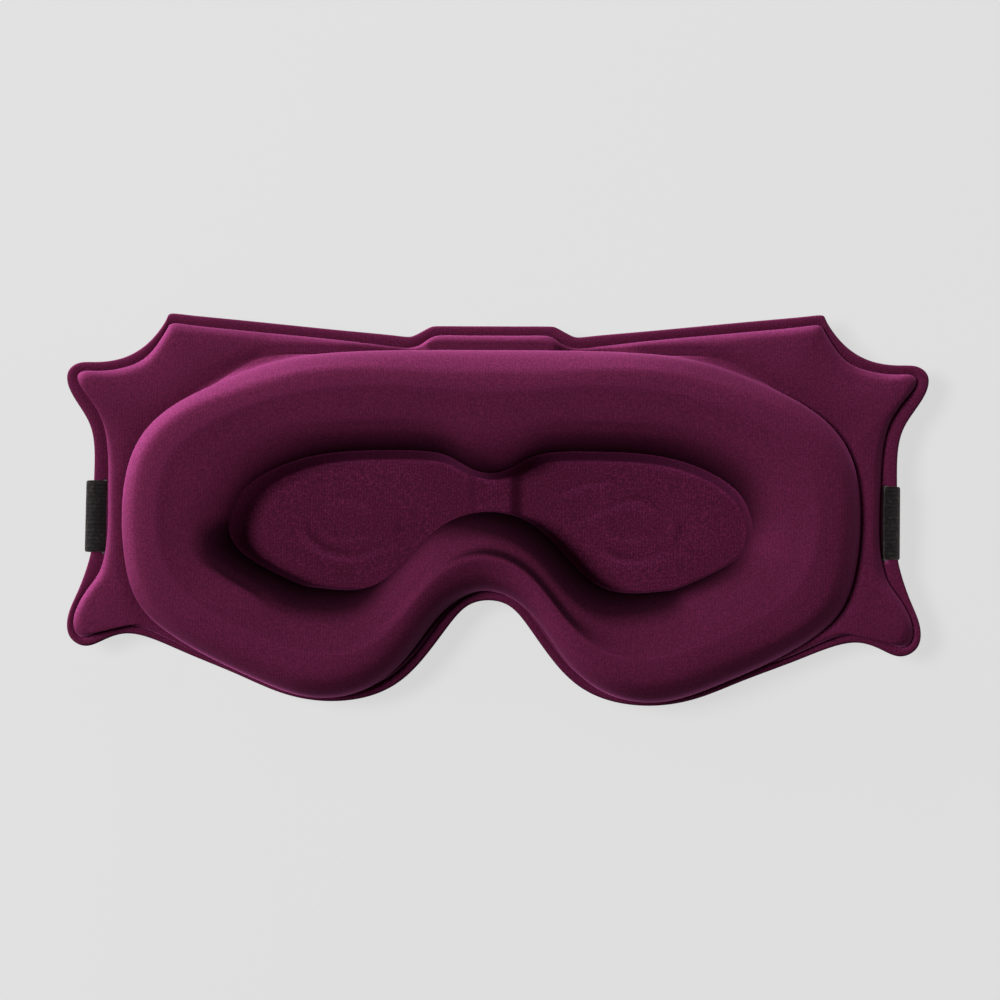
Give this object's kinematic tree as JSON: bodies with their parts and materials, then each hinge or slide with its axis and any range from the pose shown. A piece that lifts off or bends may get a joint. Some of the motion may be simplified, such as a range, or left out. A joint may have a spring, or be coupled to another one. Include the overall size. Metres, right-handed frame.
{
  "type": "sleep eye mask",
  "caption": "Contoured sleep eye mask with a thick padded face ring round two eye cavities, pointed side wings, and a hook-and-loop elastic strap folded behind.",
  "frame": {"origin": "under the middle of the mask, on the surface it lies on", "axes": "+Z towards the wearer's face, +Y towards the forehead, +X to the side shown on the right"},
  "size_m": [0.2398, 0.1076, 0.0352],
  "materials": {
    "knit_front": "matte",
    "shell_foam": "matte",
    "bond_film": "satin",
    "knit_lining": "matte",
    "pad_foam": "matte",
    "memory_foam": "matte",
    "knit_face": "matte",
    "elastic": "matte",
    "thread": "matte",
    "loop_pile": "matte",
    "hook_tape": "matte"
  },
  "bodies": {
    "mask": {"front_cover": "knit_front", "front_shell_foam": "shell_foam", "edge_bond_film": "bond_film", "cavity_lining": "knit_lining", "wing_pad_foam": "pad_foam", "face_ring_foam": "memory_foam", "face_cover": "knit_face"},
    "strap_left": {"strap_band_left": "elastic", "fold_stitching_left": "thread", "loop_patch": "loop_pile", "loop_patch_stitching": "thread"},
    "strap_right": {"strap_band_right": "elastic", "fold_stitching_right": "thread", "hook_patch": "hook_tape", "hook_patch_stitching": "thread"}
  },
  "joints": [
    {"name": "strap_left_swing", "type": "hinge", "parent": "mask", "child": "strap_left", "pos_m": [-0.1104, -0.0033, 0.0178], "axis": [0, 1, 0], "range_deg": [0, 250]},
    {"name": "strap_right_swing", "type": "hinge", "parent": "mask", "child": "strap_right", "pos_m": [0.1104, -0.0033, 0.0178], "axis": [0, -1, 0], "range_deg": [0, 250]}
  ]
}
